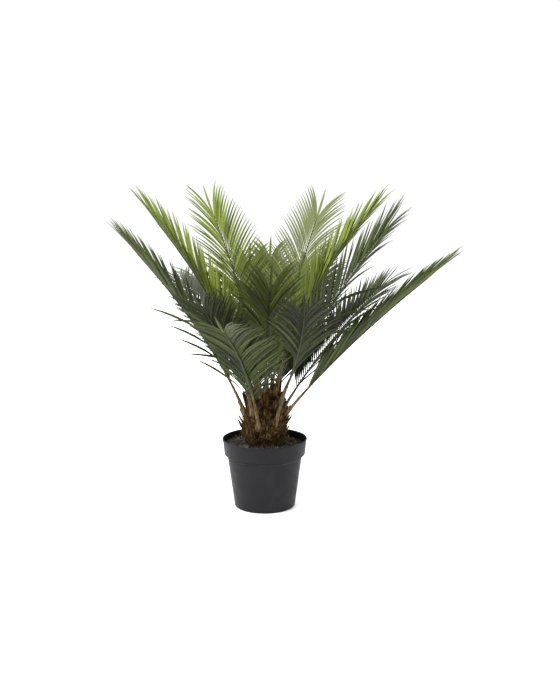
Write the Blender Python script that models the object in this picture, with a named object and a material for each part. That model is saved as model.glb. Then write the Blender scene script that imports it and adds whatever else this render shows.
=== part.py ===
"""Artificial sago palm in a plastic nursery pot, as closed solids: the pot, its fill, a fibre-covered trunk
with cut leaf bases, and a crown of feather fronds. Metres, +Z up, origin under the middle of the pot."""

import math
from collections import namedtuple

import bpy
import bmesh
from mathutils import Vector
from mathutils.bvhtree import BVHTree

GAP = 0.0003  # between pieces that touch

# ---- pot and fill
POT_HEIGHT = 0.135
RIM_RADIUS = 0.0825
BAND_HEIGHT = 0.031
BAND_FOOT_RADIUS = 0.0785
BODY_TOP_RADIUS = 0.0730
BASE_RADIUS = 0.0593
CORNER = 0.0030  # rounding of the pot's lower edge
WALL = 0.0025
FILL_TOP = 0.1225
STEP_RISE = 0.0005  # slope of the step under the band
ROUND_STEPS = 48  # sides of the pot and its fill

# ---- trunk: height above the fill and radius, foot to top
TRUNK_PROFILE = (
    (0.0000, 0.0345),
    (0.0115, 0.0385),
    (0.0245, 0.0420),
    (0.0355, 0.0430),
    (0.0535, 0.0405),
    (0.0695, 0.0350),
    (0.0835, 0.0285),
    (0.0945, 0.0220),
    (0.1005, 0.0140),
)
TRUNK_STEPS = 28
BASE_COUNT = 34  # cut leaf bases in a spiral up the trunk
BASE_TURN = 137.5  # degrees from one leaf base to the next
BASE_LENGTHS = (0.018, 0.034)  # lowest and highest
BASE_WIDTH = 0.0110
BASE_THICKNESS = 0.0055
BASE_RISES = (42, 80)  # degrees above level, lowest and highest
BASE_HEIGHTS = (0.006, 0.090)  # above the fill
BASE_SUNK = 0.006  # how far a leaf base starts inside the trunk
BASE_ROWS = ((0, 1.25), (0.6, 1.0), (1, 0.75))  # share of its length, and size there
BASE_CORNERS = ((1, 0.6), (0, 1.0), (-1, 0.6), (-1, -0.7), (1, -0.7))  # shares of half its width and depth
SOCKET_DEPTH = 0.012  # how far a stem runs into the trunk
SOCKET_PAST = 1.1  # a socket is this many times as deep as its stem

# ---- fronds
BEND = 0.6  # below 1, a stem bends most near its foot
ROLLED = 0.35  # share of a stem over which its roll comes on
LINE_STEPS = 24  # pieces that a stem's line is summed from
STEM_WIDTHS = (0.0042, 0.0027, 0.0014)  # half widths at the foot, at the first leaflets and at the tip
STEM_DEPTH = 0.9  # depth of a stem for its width
BARE = 0.19  # share of a stem below its first leaflets
BARE_SHARES = (0, 0.03, 0.08, 0.14)  # where the bare stem bends
PAIRS = 16
LEAF_LENGTH = 0.115
LEAF_WIDTH = 0.0100
LEAF_THICKNESS = 0.0014
LEAF_SEAT = 0.0062  # length of stem that one leaflet springs from
END_LEAF_LENGTH = 0.075
SHORTER_AT_ENDS = 0.18  # how much shorter the first and last leaflets are
FORWARD = (42, 14)  # degrees between stem and leaflet where it springs, first and last leaflets
FORWARD_CURVE = 1.6
FOLD = (30, 15)  # degrees that leaflets stand above the stem's own plane, first and last
ARCH = (0.22, 0.30)  # how far a leaflet's tip turns away from its stem, first and last
DROOP = (0.30, 0.38)  # how far it turns towards the ground, first and last
END_LIFT = 0.1  # how far the end leaflet turns up from its stem
WAIST = 0.42  # where a leaflet is widest, as a share of its length
LEAF_STEPS = 12  # pieces that a leaflet's line is summed from
CLEARANCE = 0.0005  # kept between leaflets of different fronds
PAST_SEAT = 0.12  # share of a leaflet that may meet its own frond
SWINGS = (0, 9, -9, 18, -18, 27)  # degrees tried where a leaflet meets something
SHORTENINGS = (1.0, 0.8, 0.6, 0.4)

Frond = namedtuple("Frond", "name heading height radius length rise_foot rise_tip sweep roll spread tint")
# Heading 0 is +X and 90 is +Y. Height and radius place the foot on the trunk. Rise is in degrees above
# level. Sweep turns a stem sideways along its length, and roll turns its leaflets about it, left side up.
# Spread is how wide its leaflets stand: below 1 they close into a plume.
FRONDS = (
    Frond("frond_01", -106, 0.166, 0.042, 0.321, 75, 25, 5, 0, 1.00, "deep"),
    Frond("frond_02", -58, 0.172, 0.040, 0.305, 68, 38, -32, 0, 1.00, "deep"),
    Frond("frond_03", -124, 0.188, 0.040, 0.296, 79, 33, 16, 8, 0.80, "deep"),
    Frond("frond_04", -8, 0.181, 0.040, 0.380, 54, 40, 0, 4, 0.52, "deep"),
    Frond("frond_05", 190, 0.188, 0.040, 0.366, 71, 49, -5, -6, 0.66, "deep"),
    Frond("frond_06", 31, 0.177, 0.036, 0.332, 58, 36, 3, 0, 0.90, "deep"),
    Frond("frond_07", -18, 0.205, 0.030, 0.378, 70, 53, 6, 30, 0.80, "deep"),
    Frond("frond_08", 20, 0.212, 0.020, 0.388, 84, 50, -17, 10, 0.66, "bright"),
    Frond("frond_09", 172, 0.211, 0.020, 0.388, 78, 52, 11, -8, 0.74, "bright"),
    Frond("frond_10", 58, 0.214, 0.020, 0.385, 74, 53, 3, 13, 1.00, "bright"),
    Frond("frond_11", 118, 0.215, 0.020, 0.371, 78, 60, 21, -12, 1.00, "bright"),
    Frond("frond_12", 143, 0.193, 0.034, 0.323, 77, 26, -21, 0, 1.00, "deep"),
    Frond("frond_13", 88, 0.200, 0.034, 0.335, 74, 38, 0, 0, 1.00, "deep"),
    Frond("frond_14", 64, 0.182, 0.038, 0.335, 66, 34, 0, 10, 1.00, "deep"),
    Frond("frond_15", 120, 0.182, 0.038, 0.330, 64, 32, 0, -10, 1.00, "deep"),
    Frond("frond_16", 110, 0.200, 0.032, 0.290, 80, 46, -20, 0, 1.00, "deep"),
    Frond("frond_17", 48, 0.200, 0.032, 0.280, 80, 44, 24, 0, 1.00, "deep"),
    Frond("frond_18", -84, 0.212, 0.020, 0.245, 86, 54, 0, 0, 1.00, "deep"),
    Frond("frond_19", 74, 0.172, 0.041, 0.330, 54, 16, 0, 0, 1.00, "deep"),
    Frond("frond_20", 104, 0.174, 0.041, 0.330, 52, 15, 0, 0, 1.00, "deep"),
)

COLOURS = {  # base colour and roughness
    "pot": ((0.040, 0.040, 0.043), 0.55),
    "fill": ((0.035, 0.032, 0.022), 0.95),
    "trunk": ((0.045, 0.026, 0.010), 0.95),
    "deep": ((0.052, 0.076, 0.032), 0.60),
    "bright": ((0.130, 0.160, 0.045), 0.55),
}


def clear_scene():
    for item in list(bpy.data.objects):
        bpy.data.objects.remove(item, do_unlink=True)


def material(name):
    made = bpy.data.materials.get(name) or bpy.data.materials.new(name)
    made.use_nodes = True
    colour, roughness = COLOURS[name]
    shader = made.node_tree.nodes["Principled BSDF"]
    shader.inputs["Base Color"].default_value = (*colour, 1)
    shader.inputs["Roughness"].default_value = roughness
    shader.inputs["Metallic"].default_value = 0
    return made


def object_of(name, points, faces, colour):
    """A mesh object from points and faces, its faces turned outwards."""
    mesh = bpy.data.meshes.new(name)
    mesh.from_pydata(points, [], faces)
    shape = bmesh.new()
    shape.from_mesh(mesh)
    bmesh.ops.recalc_face_normals(shape, faces=shape.faces)
    shape.to_mesh(mesh)
    shape.free()
    made = bpy.data.objects.new(name, mesh)
    bpy.context.scene.collection.objects.link(made)
    mesh.materials.append(material(colour))
    return made


def turned(name, profile, steps, colour):
    """A closed turned solid: a profile of (radius, height) whose first and last points end in flat discs."""
    points = []
    for radius, height in profile:
        for step in range(steps):
            turn = math.tau * step / steps
            points.append((radius * math.cos(turn), radius * math.sin(turn), height))
    faces = [tuple(range(steps)), tuple(range(len(points) - steps, len(points)))]
    for ring in range(len(profile) - 1):
        for step in range(steps):
            here = ring * steps + step
            beside = ring * steps + (step + 1) % steps
            faces.append((here, beside, beside + steps, here + steps))
    made = object_of(name, points, faces, colour)
    made.data.shade_smooth()
    made.data.set_sharp_from_angle(angle=math.radians(35))
    return made


def arc(centre, radius, first, last, steps):
    """Points of a rounding, in degrees from +radius towards +height."""
    points = []
    for step in range(steps + 1):
        turn = math.radians(first + (last - first) * step / steps)
        points.append((centre[0] + radius * math.cos(turn), centre[1] + radius * math.sin(turn)))
    return points


def make_pot():
    band_foot = POT_HEIGHT - BAND_HEIGHT
    half_wall = WALL / 2
    rim_centre = (RIM_RADIUS - half_wall, POT_HEIGHT - half_wall)
    outer = arc((BASE_RADIUS - CORNER, CORNER), CORNER, -90, -5, 3)
    outer += [(BODY_TOP_RADIUS, band_foot), (BAND_FOOT_RADIUS, band_foot + STEP_RISE)]
    rim = arc(rim_centre, half_wall, 5, 175, 4)
    inner = [
        (BAND_FOOT_RADIUS - WALL, band_foot + WALL),
        (BODY_TOP_RADIUS - WALL, band_foot + WALL - STEP_RISE),
        (BASE_RADIUS - WALL, WALL),
    ]
    return turned("pot", outer + rim + inner, ROUND_STEPS, "pot")


def make_fill():
    band_foot = POT_HEIGHT - BAND_HEIGHT
    side = WALL + GAP * 1.5
    band_lean = (RIM_RADIUS - BAND_FOOT_RADIUS) / BAND_HEIGHT
    top_radius = BAND_FOOT_RADIUS - side + (FILL_TOP - band_foot - WALL) * band_lean
    profile = [
        (BASE_RADIUS - side, WALL + GAP),
        (BODY_TOP_RADIUS - side, band_foot + WALL - STEP_RISE / 2),
        (BAND_FOOT_RADIUS - side, band_foot + WALL + GAP),
        (top_radius, FILL_TOP),
    ]
    return turned("fill", profile, ROUND_STEPS, "fill")


def trunk_radius(height):
    """Radius of the trunk's core at a height above the ground."""
    above = height - FILL_TOP
    for (low, low_radius), (high, high_radius) in zip(TRUNK_PROFILE, TRUNK_PROFILE[1:]):
        if above <= high:
            return low_radius + (high_radius - low_radius) * max(above - low, 0) / (high - low)
    return TRUNK_PROFILE[-1][1]


def directions(rise, heading):
    """Along, left of and square above a limb, from its rise above level and its heading in radians."""
    flat = math.cos(rise)
    along = Vector((flat * math.cos(heading), flat * math.sin(heading), math.sin(rise)))
    left = Vector((-math.sin(heading), math.cos(heading), 0))
    return along, left, along.cross(left)


def leaf_base(index):
    """One cut leaf base: a wedge that starts inside the trunk and stands out of it, as (points, faces)."""
    heading = math.radians(index * BASE_TURN)
    share_up = index / (BASE_COUNT - 1)
    height = FILL_TOP + BASE_HEIGHTS[0] + (BASE_HEIGHTS[1] - BASE_HEIGHTS[0]) * share_up
    rise = math.radians(BASE_RISES[0] + (BASE_RISES[1] - BASE_RISES[0]) * share_up)
    length = BASE_LENGTHS[0] + (BASE_LENGTHS[1] - BASE_LENGTHS[0]) * share_up
    along, left, above = directions(rise, heading)
    outward = Vector((math.cos(heading), math.sin(heading), 0))
    foot = Vector((0, 0, height)) + outward * (trunk_radius(height) - BASE_SUNK)
    points = []
    for distance, size in BASE_ROWS:
        for across, deep in BASE_CORNERS:
            aside = left * (across * size * BASE_WIDTH / 2) + above * (deep * size * BASE_THICKNESS / 2)
            points.append(foot + along * (length * distance) + aside)
    return points, ring_faces(len(BASE_CORNERS), len(BASE_ROWS))


def ring_faces(sides, rings):
    """Faces of a closed tube through rings of points."""
    faces = [tuple(range(sides)), tuple(range(sides * (rings - 1), sides * rings))]
    for ring in range(rings - 1):
        for side in range(sides):
            here = ring * sides + side
            beside = ring * sides + (side + 1) % sides
            faces.append((here, beside, beside + sides, here + sides))
    return faces


def combine(base, operation, pieces):
    """Joins pieces to a base object, or cuts them from it, by one Boolean. The pieces are removed."""
    collection = bpy.data.collections.new(operation)
    for piece in pieces:
        collection.objects.link(piece)
        bpy.context.scene.collection.objects.unlink(piece)
    bpy.context.scene.collection.children.link(collection)
    modifier = base.modifiers.new(operation, "BOOLEAN")
    modifier.operation = operation
    modifier.operand_type = "COLLECTION"
    modifier.collection = collection
    modifier.solver = "EXACT"
    bpy.context.view_layer.update()
    evaluated = base.evaluated_get(bpy.context.evaluated_depsgraph_get())
    joined = bpy.data.meshes.new_from_object(evaluated)
    base.modifiers.clear()
    base.data = joined
    for piece in pieces:
        bpy.data.objects.remove(piece, do_unlink=True)
    bpy.data.collections.remove(collection)


def drop_scraps(made):
    """Keeps the largest connected piece of a mesh."""
    shape = bmesh.new()
    shape.from_mesh(made.data)
    left = set(shape.verts)
    islands = []
    while left:
        island = set()
        front = [left.pop()]
        while front:
            vert = front.pop()
            island.add(vert)
            for edge in vert.link_edges:
                other = edge.other_vert(vert)
                if other in left:
                    left.remove(other)
                    front.append(other)
        islands.append(island)
    islands.sort(key=len)
    for island in islands[:-1]:
        bmesh.ops.delete(shape, geom=list(island), context="VERTS")
    shape.to_mesh(made.data)
    shape.free()


def make_trunk():
    profile = [(radius, FILL_TOP + GAP + above) for above, radius in TRUNK_PROFILE]
    trunk = turned("trunk", profile, TRUNK_STEPS, "trunk")
    bases = []
    for index in range(BASE_COUNT):
        points, faces = leaf_base(index)
        bases.append(object_of("leaf_base", points, faces, "trunk"))
    combine(trunk, "UNION", bases)
    sockets = []
    for frond in FRONDS:
        points = []
        shares = (-SOCKET_PAST * SOCKET_DEPTH / frond.length, *BARE_SHARES)
        for share in shares:
            points += stem_ring(frond, share, GAP * 1.5)
        sockets.append(object_of("socket", points, ring_faces(4, len(shares)), "trunk"))
    combine(trunk, "DIFFERENCE", sockets)
    drop_scraps(trunk)
    return trunk


def stem_frame(frond, share):
    """The midline point of a frond's stem at a share of its length, with its directions there."""
    foot = math.radians(frond.heading)
    point = Vector((frond.radius * math.cos(foot), frond.radius * math.sin(foot), frond.height))

    def at(place):
        place = max(place, 0)
        rise = math.radians(frond.rise_foot + (frond.rise_tip - frond.rise_foot) * place**BEND)
        along, left, above = directions(rise, math.radians(frond.heading + frond.sweep * place))
        roll = math.radians(frond.roll * min(place / ROLLED, 1))
        turned_left = left * math.cos(roll) + above * math.sin(roll)
        turned_above = above * math.cos(roll) - left * math.sin(roll)
        return along, turned_left, turned_above

    for step in range(LINE_STEPS):
        point += at(share * (step + 0.5) / LINE_STEPS)[0] * (frond.length * share / LINE_STEPS)
    return (point, *at(share))


def stem_half_width(share):
    foot, first, tip = STEM_WIDTHS
    if share < BARE:
        return foot + (first - foot) * max(share, 0) / BARE
    return first + (tip - first) * (share - BARE) / (1 - BARE)


def stem_ring(frond, share, extra=0.0):
    """Four corners round a stem: above, left, below, right."""
    centre, _, left, above = stem_frame(frond, share)
    half = stem_half_width(share) + extra
    deep = stem_half_width(share) * STEM_DEPTH + extra
    return [centre + above * deep, centre + left * half, centre - above * deep, centre - left * half]


def leaflet_line(spread, along, left, above, side, place, swing, length):
    """Offsets from a leaflet's seat to its widest point and to its tip."""
    forward = FORWARD[1] + (FORWARD[0] - FORWARD[1]) * (1 - place**FORWARD_CURVE)
    forward = math.radians(forward * spread)
    fold = math.radians(FOLD[0] + (FOLD[1] - FOLD[0]) * place + swing)
    outward = left * (side * math.cos(fold)) + above * math.sin(fold)
    start = along * math.cos(forward) + outward * math.sin(forward)
    arch = ARCH[0] + (ARCH[1] - ARCH[0]) * place
    droop = DROOP[0] + (DROOP[1] - DROOP[0]) * place
    bend = (outward * arch - Vector((0, 0, droop))) * spread
    offset = Vector()
    found = []
    for step in range(LEAF_STEPS):
        way = start + bend * ((step + 0.5) / LEAF_STEPS)
        before = offset.copy()
        offset = offset + way.normalized() * (length / LEAF_STEPS)
        if step < WAIST * LEAF_STEPS <= step + 1:
            found.append(before.lerp(offset, WAIST * LEAF_STEPS - step))
    found.append(offset)
    return found


def leaflet_points(seat, along, above, line, extra=0.0):
    """Four corners at a leaflet's widest point, in the order of its seat's corners, and its tip."""
    middle = seat + line[0]
    way = line[0].normalized()
    across = (along - way * along.dot(way)).normalized() * (LEAF_WIDTH / 2 + extra)
    thick = across.cross(way).normalized() * (LEAF_THICKNESS / 2 + extra)
    if thick.dot(above) < 0:
        thick = -thick
    corners = [
        middle - across + thick,
        middle + across + thick,
        middle + across - thick,
        middle - across - thick,
    ]
    return corners, seat + line[-1] + way * extra


LEAF_SIDES = ((0, 1, 5, 4), (1, 2, 6, 5), (2, 3, 7, 6), (3, 0, 4, 7))
LEAF_END = ((4, 5, 8), (5, 6, 8), (6, 7, 8), (7, 4, 8))
LEAF_FACES = LEAF_SIDES + LEAF_END


def leaflet_tree(corners, waist, tip, start=0.0):
    """A search tree of one leaflet, from its seat or from a little past it."""
    first = [corner.lerp(end, start) for corner, end in zip(corners, waist)]
    return BVHTree.FromPolygons([*first, *waist, tip], [*LEAF_FACES, (3, 2, 1, 0)])


def leaf_shares(frond):
    """Shares of the stem at which leaflet pairs spring, and each one's place along the leafy part."""
    last = 1 - LEAF_SEAT / frond.length
    for pair in range(PAIRS):
        place = pair / (PAIRS - 1)
        yield BARE + (last - BARE) * place, place


def make_frond(frond, taken):
    """One frond as a closed mesh. A leaflet that would meet what is taken swings, shortens or is left out."""
    points = []
    faces = []

    def add(ring):
        points.extend(ring)
        return list(range(len(points) - len(ring), len(points)))

    def join(first, second, sides=(0, 1, 2, 3)):
        for side in sides:
            beside = (side + 1) % 4
            faces.append((first[side], second[side], second[beside], first[beside]))

    ring = add(stem_ring(frond, -SOCKET_DEPTH / frond.length))
    faces.append(tuple(ring))
    for share in BARE_SHARES:
        following = add(stem_ring(frond, share))
        join(ring, following)
        ring = following
    leaves = []
    for share, place in leaf_shares(frond):
        half_seat = LEAF_SEAT / 2 / frond.length
        near = add(stem_ring(frond, share - half_seat))
        far = add(stem_ring(frond, share + half_seat))
        join(ring, near)
        join(near, far, (1, 2))
        _, along, left, above = stem_frame(frond, share)
        for side, beside in ((1, 1), (-1, 3)):
            corners = (near[0], far[0], far[beside], near[beside])
            seat = [points[corner] for corner in corners]
            grown = grow_leaflet(frond, seat, along, left, above, side, place, taken, leaves)
            if grown is None:
                faces.append(corners)
                continue
            waist = add(grown[0])
            tip = add([grown[1]])[0]
            numbers = (*corners, *waist, tip)
            faces.extend(tuple(numbers[corner] for corner in face) for face in LEAF_FACES)
        ring = far
    end, along, left, above = stem_frame(frond, 1)
    middle = end + along * (END_LEAF_LENGTH * WAIST)
    thick = above * (LEAF_THICKNESS / 2)
    across = left * (LEAF_WIDTH / 2)
    waist = add([middle + thick, middle + across, middle - thick, middle - across])
    join(ring, waist)
    tip = add([end_leaf_tip(frond)])[0]
    for side in range(4):
        faces.append((waist[side], waist[(side + 1) % 4], tip))
    made = object_of(frond.name, points, faces, frond.tint)
    return made, len(leaves)


def end_leaf_tip(frond):
    """The tip of the single leaflet that a frond ends in."""
    end, along, _, above = stem_frame(frond, 1)
    return end + (along + above * END_LIFT).normalized() * END_LEAF_LENGTH


def grow_leaflet(frond, corners, along, left, above, side, place, taken, leaves):
    """The widest corners and the tip of a leaflet that is clear of the rest, or None."""
    seat = sum(corners, Vector()) / 4
    full = LEAF_LENGTH * (1 - SHORTER_AT_ENDS * (2 * place - 1) ** 2)
    for shortening in SHORTENINGS:
        for swing in SWINGS:
            line = leaflet_line(frond.spread, along, left, above, side, place, swing, full * shortening)
            trial = leaflet_points(seat, along, above, line, CLEARANCE)
            whole = leaflet_tree(corners, *trial)
            past_seat = leaflet_tree(corners, *trial, PAST_SEAT)
            if any(whole.overlap(other) for other in taken):
                continue
            if any(past_seat.overlap(other) for other in leaves):
                continue
            leaves.append(past_seat)
            return leaflet_points(seat, along, above, line)
    return None


def stem_tree(frond):
    """A search tree of a frond's whole stem and end leaflet, a little thicker than they are."""
    shares = [-SOCKET_DEPTH / frond.length, *BARE_SHARES]
    half_seat = LEAF_SEAT / 2 / frond.length
    for share, _ in leaf_shares(frond):
        shares += [share - half_seat, share + half_seat]
    points = []
    for share in shares:
        points += stem_ring(frond, share, CLEARANCE)
    end = stem_frame(frond, 1)[0]
    for corner in stem_ring(frond, 1, LEAF_WIDTH / 2):
        points.append(corner + end_leaf_tip(frond) - end)
    return BVHTree.FromPolygons(points, ring_faces(4, len(shares) + 1))


def tree_of(made):
    points = [vertex.co for vertex in made.data.vertices]
    faces = [tuple(polygon.vertices) for polygon in made.data.polygons]
    return BVHTree.FromPolygons(points, faces)


def build():
    clear_scene()
    pot = make_pot()
    fill = make_fill()
    trunk = make_trunk()
    solid = [tree_of(made) for made in (pot, fill, trunk)]
    stems = {frond.name: stem_tree(frond) for frond in FRONDS}
    grown = []
    for frond in FRONDS:
        others = [tree for name, tree in stems.items() if name != frond.name]
        made, count = make_frond(frond, solid + others + grown)
        grown.append(tree_of(made))
        print(frond.name, "leaflets:", count, "of", 2 * PAIRS)


build()
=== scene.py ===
# %% [markdown]
# # An artificial sago palm in a nursery pot
# The real thing is a moulded black pot filled with dark peat and moss, a stout trunk wrapped in coconut
# fibre, and twenty feather fronds of satin plastic. Each piece below gets its own step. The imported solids
# are the fixed frame: every finer piece stands where its solid stands and then takes its place.

# %% Load the frame
import math
import random
from collections import namedtuple

import bpy
import bmesh
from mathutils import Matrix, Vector, noise
from mathutils.bvhtree import BVHTree


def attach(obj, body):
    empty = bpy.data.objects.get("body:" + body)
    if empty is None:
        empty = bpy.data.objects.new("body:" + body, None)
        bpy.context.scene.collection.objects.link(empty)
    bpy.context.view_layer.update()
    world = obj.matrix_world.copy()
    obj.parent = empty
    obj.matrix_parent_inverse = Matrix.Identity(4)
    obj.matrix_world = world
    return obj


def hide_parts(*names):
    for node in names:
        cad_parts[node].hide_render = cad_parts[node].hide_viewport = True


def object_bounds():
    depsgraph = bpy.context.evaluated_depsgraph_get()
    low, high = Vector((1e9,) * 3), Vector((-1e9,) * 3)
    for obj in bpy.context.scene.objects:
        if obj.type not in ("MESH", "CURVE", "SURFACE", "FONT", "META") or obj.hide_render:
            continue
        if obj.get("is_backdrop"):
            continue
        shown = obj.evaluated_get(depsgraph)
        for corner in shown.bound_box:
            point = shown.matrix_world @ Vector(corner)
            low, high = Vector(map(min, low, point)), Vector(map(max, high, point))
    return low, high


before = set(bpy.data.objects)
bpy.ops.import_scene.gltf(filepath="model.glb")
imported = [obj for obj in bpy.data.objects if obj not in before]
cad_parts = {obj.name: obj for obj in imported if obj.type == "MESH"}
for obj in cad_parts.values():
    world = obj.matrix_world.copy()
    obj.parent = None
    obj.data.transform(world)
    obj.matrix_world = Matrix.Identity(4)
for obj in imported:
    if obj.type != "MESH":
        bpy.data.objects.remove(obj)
SOLID_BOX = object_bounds()
print("solids:", sorted(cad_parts))

# %% [markdown]
# ## Camera and studio light
# A pale, even studio needs a world that lights everything softly, and a few large lamps that give the
# leaves and the pot a lit side. Large area lamps make soft shadows, because light reaches a point from
# every part of the lamp. The camera stands a little higher than the plant and looks down by ten degrees,
# which is enough to show the fill inside the rim.

# %% Camera and studio light
CAMERA_PLACE = (0.0298, -2.0, 0.661)
CAMERA_TILT = 79.99  # degrees up from looking straight down
CAMERA_LENS = 54.46  # millimetres
CAMERA_SENSOR = 36
WORLD_STRENGTH = 1.12
LAMPS = (  # name, place, size and power
    ("key_lamp", (-1.5, -1.7, 3.2), 1.6, 200),
    ("fill_lamp", (2.4, -1.6, 1.6), 2.0, 22),
    ("back_lamp", (0.3, 2.2, 2.6), 1.8, 110),
)
LAMP_AIM = Vector((0.0, 0.0, 0.32))

camera = bpy.data.objects.new("camera", bpy.data.cameras.new("camera"))
camera.location = CAMERA_PLACE
camera.rotation_euler = (math.radians(CAMERA_TILT), 0, 0)
camera.data.lens = CAMERA_LENS
camera.data.sensor_width = CAMERA_SENSOR
scene = bpy.context.scene
scene.collection.objects.link(camera)
scene.camera = camera
scene.view_settings.view_transform = "Standard"

for name, place, size, power in LAMPS:
    lamp = bpy.data.objects.new(name, bpy.data.lights.new(name, "AREA"))
    lamp.data.shape = "DISK"
    lamp.data.size = size
    lamp.data.energy = power
    lamp.location = place
    lamp.rotation_euler = (LAMP_AIM - lamp.location).to_track_quat("-Z", "Y").to_euler()
    scene.collection.objects.link(lamp)

world = bpy.data.worlds.new("studio")
world.use_nodes = True
background = world.node_tree.nodes["Background"]
background.inputs["Color"].default_value = (1, 1, 1, 1)
background.inputs["Strength"].default_value = WORLD_STRENGTH
scene.world = world
print("lamps:", len(LAMPS))

# %% [markdown]
# ## Helpers for node trees
# A finish and a Geometry Nodes tree are both built in the script, so one small helper serves both. It adds
# a node, sets what it is given and joins sockets, which keeps each tree down to lines that read like a
# recipe.

# %% Helpers for node trees
class Nodes:
    """Short calls that add nodes to a tree and join them."""

    def __init__(self, tree):
        self.tree = tree

    def feed(self, socket, value):
        if isinstance(value, bpy.types.NodeSocket):
            self.tree.links.new(value, socket)
        else:
            socket.default_value = value

    def add(self, kind, inputs=None, **settings):
        node = self.tree.nodes.new(kind)
        for name, value in settings.items():
            setattr(node, name, value)
        for name, value in (inputs or {}).items():
            self.feed(node.inputs[name], value)
        return node

    def math(self, operation, *values):
        return self.add("ShaderNodeMath", dict(enumerate(values)), operation=operation).outputs[0]

    def vector(self, operation, *values):
        return self.add("ShaderNodeVectorMath", dict(enumerate(values)), operation=operation).outputs[0]

    def scaled(self, vector, factor):
        node = self.add("ShaderNodeVectorMath", {0: vector, "Scale": factor}, operation="SCALE")
        return node.outputs[0]


def linear(screen):
    """A colour given in screen values from 0 to 255, as the linear numbers that a shader takes."""
    shares = [value / 255 for value in screen]
    return (*(s / 12.92 if s <= 0.04045 else ((s + 0.055) / 1.055) ** 2.4 for s in shares), 1.0)


# %% [markdown]
# ## Helpers for finishes
# Most surfaces here are two to four close colours in patches, a roughness that wanders a little, and a fine
# relief. Noise on Object coordinates gives all three. Stretching the coordinates before the noise turns
# round patches into fibres, and a bump node makes relief that costs no faces.

# %% Helpers for finishes
def new_finish(name, roughness, specular=0.5):
    """A material with one main shader. Returns it with its nodes and that shader."""
    made = bpy.data.materials.new(name)
    made.use_nodes = True
    shader = made.node_tree.nodes["Principled BSDF"]
    shader.inputs["Roughness"].default_value = roughness
    shader.inputs["Specular IOR Level"].default_value = specular
    return made, Nodes(made.node_tree), shader


def patches(nodes, scale, stretch=(1, 1, 1), detail=4.0, roughness=0.6):
    """A noise on Object coordinates, from 0 to 1, stretched along an axis where its factor is small."""
    place = nodes.add("ShaderNodeTexCoord").outputs["Object"]
    placed = nodes.add("ShaderNodeMapping", {"Vector": place, "Scale": stretch}).outputs["Vector"]
    settings = {"Vector": placed, "Scale": scale, "Detail": detail, "Roughness": roughness}
    return nodes.add("ShaderNodeTexNoise", settings).outputs["Fac"]


def between(nodes, value, low, high):
    """A value from about 0.3 to 0.7, as noise gives, spread over low to high."""
    settings = {"Value": value, "From Min": 0.3, "From Max": 0.7, "To Min": low, "To Max": high}
    return nodes.add("ShaderNodeMapRange", settings).outputs["Result"]


def ramp(nodes, value, stops):
    """Colours by value: stops are (value, screen colour)."""
    node = nodes.add("ShaderNodeValToRGB", {"Fac": value})
    elements = node.color_ramp.elements
    while len(elements) < len(stops):
        elements.new(0.5)
    for element, (place, colour) in zip(elements, stops):
        element.position = place
        element.color = linear(colour)
    return node.outputs["Color"]


def bump(nodes, shader, height, distance, strength=1.0):
    settings = {"Height": height, "Distance": distance, "Strength": strength}
    nodes.feed(shader.inputs["Normal"], nodes.add("ShaderNodeBump", settings).outputs["Normal"])


# %% [markdown]
# ## The floor
# The floor is one big square, so wide that its far edge melts into the white world.

# %% The floor
FLOOR_HALF = 30.0
FLOOR_DROP = 0.0005
FLOOR_PALENESS = 0.9

floor_finish, nodes, shader = new_finish("floor_finish", 0.9, 0.2)
shader.inputs["Base Color"].default_value = (FLOOR_PALENESS, FLOOR_PALENESS, FLOOR_PALENESS, 1)
floor_mesh = bpy.data.meshes.new("floor")
square = ((-1, -1), (1, -1), (1, 1), (-1, 1))
corners = [(across * FLOOR_HALF, deep * FLOOR_HALF, 0) for across, deep in square]
floor_mesh.from_pydata(corners, [], [(0, 1, 2, 3)])
floor_mesh.materials.append(floor_finish)
floor = bpy.data.objects.new("floor", floor_mesh)
floor.location.z = -FLOOR_DROP
scene.collection.objects.link(floor)
floor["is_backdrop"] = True
print("floor:", FLOOR_HALF * 2, "m square")

# %% [markdown]
# ## Helpers for pieces
# Pots and trunks are turned shapes, so one helper spins a profile of radius and height round the middle,
# with a single point at each pole. Another gives the faces round a tube, and the last one hands a finished
# piece to the frame: it rides on the one body, and the solid that it stands for is hidden.

# %% Helpers for pieces
def mesh_object(name, points, faces, material=None):
    """A mesh object at the origin, with its faces turned outwards."""
    mesh = bpy.data.meshes.new(name)
    mesh.from_pydata(points, [], faces)
    shape = bmesh.new()
    shape.from_mesh(mesh)
    bmesh.ops.recalc_face_normals(shape, faces=shape.faces)
    shape.to_mesh(mesh)
    shape.free()
    if material:
        mesh.materials.append(material)
    made = bpy.data.objects.new(name, mesh)
    scene.collection.objects.link(made)
    return made


def turned(name, profile, steps, material, move=None):
    """A shape turned from (radius, height) points, the first and last on the axis. move shifts each point."""
    points = []
    rings = []
    for radius, height in profile:
        ring = []
        for step in range(steps if radius else 1):
            turn = math.tau * step / steps
            point = Vector((radius * math.cos(turn), radius * math.sin(turn), height))
            ring.append(len(points))
            points.append(move(point) if move else point)
        rings.append(ring)
    faces = []
    for low, high in zip(rings, rings[1:]):
        for step in range(steps):
            beside = (step + 1) % steps
            corners = [low[step % len(low)], low[beside % len(low)]]
            corners += [high[beside % len(high)], high[step % len(high)]]
            faces.append(list(dict.fromkeys(corners)))  # a ring of one point gives the same corner twice
    return mesh_object(name, points, faces, material)


def tube_faces(points, sides):
    """Faces round a tube whose points come ring by ring. Points after the last whole ring are left out."""
    faces = []
    for ring in range(len(points) // sides - 1):
        for side in range(sides):
            here = ring * sides + side
            beside = ring * sides + (side + 1) % sides
            faces.append((here, beside, beside + sides, here + sides))
    return faces


def smooth(piece, angle):
    """Shades a piece smooth, with edges sharper than the angle left crisp."""
    piece.data.shade_smooth()
    piece.data.set_sharp_from_angle(angle=math.radians(angle))


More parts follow.
